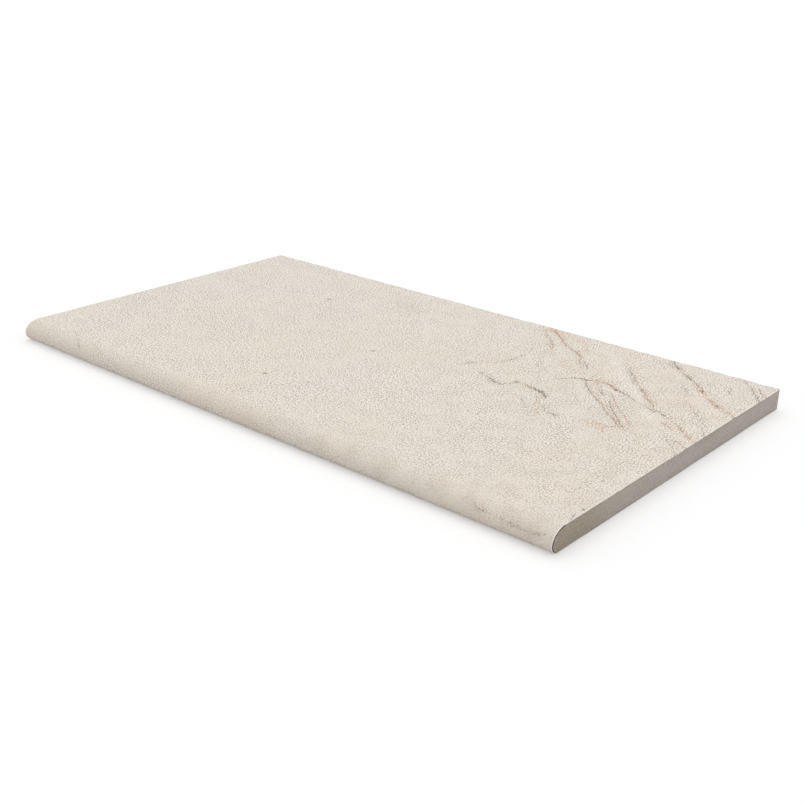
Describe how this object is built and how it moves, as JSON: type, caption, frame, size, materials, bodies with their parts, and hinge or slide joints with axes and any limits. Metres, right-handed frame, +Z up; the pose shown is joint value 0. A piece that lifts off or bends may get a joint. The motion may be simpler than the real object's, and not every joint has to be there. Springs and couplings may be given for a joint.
{
  "type": "pool coping stone",
  "caption": "Rectangular porcelain slab with a rolled nose along one long edge, bedded flat to cap the rim of a swimming pool.",
  "frame": {"origin": "centre of the underside, on the plane that the stone is bedded on", "axes": "+X along the pool edge, +Y from the pool towards the deck so that the nose faces -Y, +Z up"},
  "size_m": [0.6, 0.33, 0.018],
  "materials": {
    "porcelain": "matte"
  },
  "bodies": {
    "root": {"coping_stone": "porcelain"}
  },
  "joints": []
}
